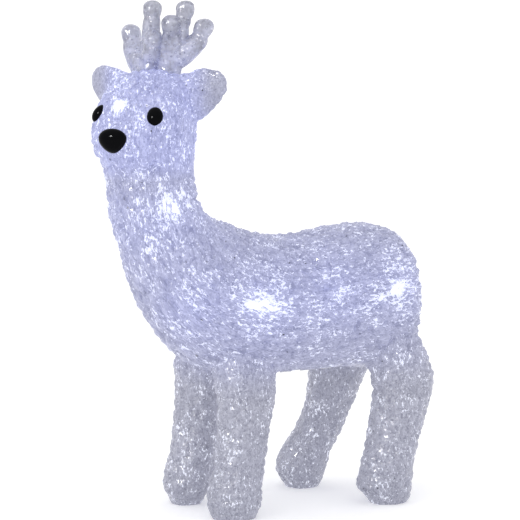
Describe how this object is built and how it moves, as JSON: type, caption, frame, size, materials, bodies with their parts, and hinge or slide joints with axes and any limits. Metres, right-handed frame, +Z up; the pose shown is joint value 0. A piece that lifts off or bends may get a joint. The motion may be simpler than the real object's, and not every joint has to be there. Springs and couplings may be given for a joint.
{
  "type": "light up yard reindeer",
  "caption": "Standing light up reindeer of clear strand-textured acrylic with antlers, black eyes and nose, LED string inside and a belly battery box.",
  "frame": {"origin": "middle of the whole deer's footprint, on the surface it stands on", "axes": "+Z up, the deer faces -Y, its left side is +X"},
  "size_m": [0.1114, 0.2524, 0.3533],
  "materials": {
    "strand_acrylic": "clear strands, lit from inside",
    "smooth_acrylic": "clear and smooth",
    "black_gloss": "gloss",
    "grey_plastic": "satin",
    "black_plastic": "satin",
    "rubber_grey": "matt",
    "steel": "satin",
    "cell_jacket": "gloss",
    "board_green": "satin",
    "wire_clear": "gloss",
    "wire_red": "satin",
    "wire_black": "satin",
    "led_lens": "clear, lit"
  },
  "bodies": {
    "reindeer": {"antler_left": "smooth_acrylic", "antler_right": "smooth_acrylic", "battery_box": "grey_plastic", "battery_lead_minus": "wire_black", "battery_lead_plus": "wire_red", "board_screw_1": "steel", "board_screw_2": "steel", "body_shell_left": "strand_acrylic", "body_shell_right": "strand_acrylic", "bridge_plate_front": "steel", "bridge_plate_rear": "steel", "cell_1": "cell_jacket", "cell_2": "cell_jacket", "cell_3": "cell_jacket", "cell_spring_1": "steel", "cell_spring_2": "steel", "cell_spring_3": "steel", "circuit_board": "board_green", "door_hinge_pin": "steel", "ear_left": "smooth_acrylic", "ear_right": "smooth_acrylic", "eye_left": "black_gloss", "eye_left_washer": "steel", "eye_right": "black_gloss", "eye_right_washer": "steel", "hoof_front_left": "smooth_acrylic", "hoof_front_right": "smooth_acrylic", "hoof_rear_left": "smooth_acrylic", "hoof_rear_right": "smooth_acrylic", "led_back_left": "led_lens", "led_back_right": "led_lens", "led_chest_left": "led_lens", "led_forehead": "led_lens", "led_neck_left": "led_lens", "led_neck_right": "led_lens", "led_rump_left": "led_lens", "led_rump_right": "led_lens", "led_side_left": "led_lens", "led_side_right": "led_lens", "led_string_wire": "wire_clear", "leg_front_left": "strand_acrylic", "leg_front_right": "strand_acrylic", "leg_rear_left": "strand_acrylic", "leg_rear_right": "strand_acrylic", "nose": "black_gloss", "nose_washer": "steel", "string_terminal": "grey_plastic", "switch_body": "black_plastic", "terminal_plate_minus": "steel", "terminal_plate_plus": "steel", "timer_chip": "black_plastic"},
    "battery_door": {"battery_door": "grey_plastic", "door_gasket": "rubber_grey"},
    "door_screw": {"door_screw": "steel"},
    "switch_knob": {"switch_knob": "black_plastic"}
  },
  "joints": [
    {"name": "door_hinge", "type": "hinge", "parent": "reindeer", "child": "battery_door", "pos_m": [0.02193, 0.0296, 0.0986], "axis": [0, -1, 0], "range_deg": [0, 105]},
    {"name": "door_screw_turn", "type": "hinge", "parent": "battery_door", "child": "door_screw", "pos_m": [-0.02148, 0.0296, 0.097], "axis": [0, 0, 1], "range_deg": [0, 720]},
    {"name": "switch_slide", "type": "slide", "parent": "reindeer", "child": "switch_knob", "axis": [1, 0, 0], "range_m": [-0.002, 0.002]}
  ]
}
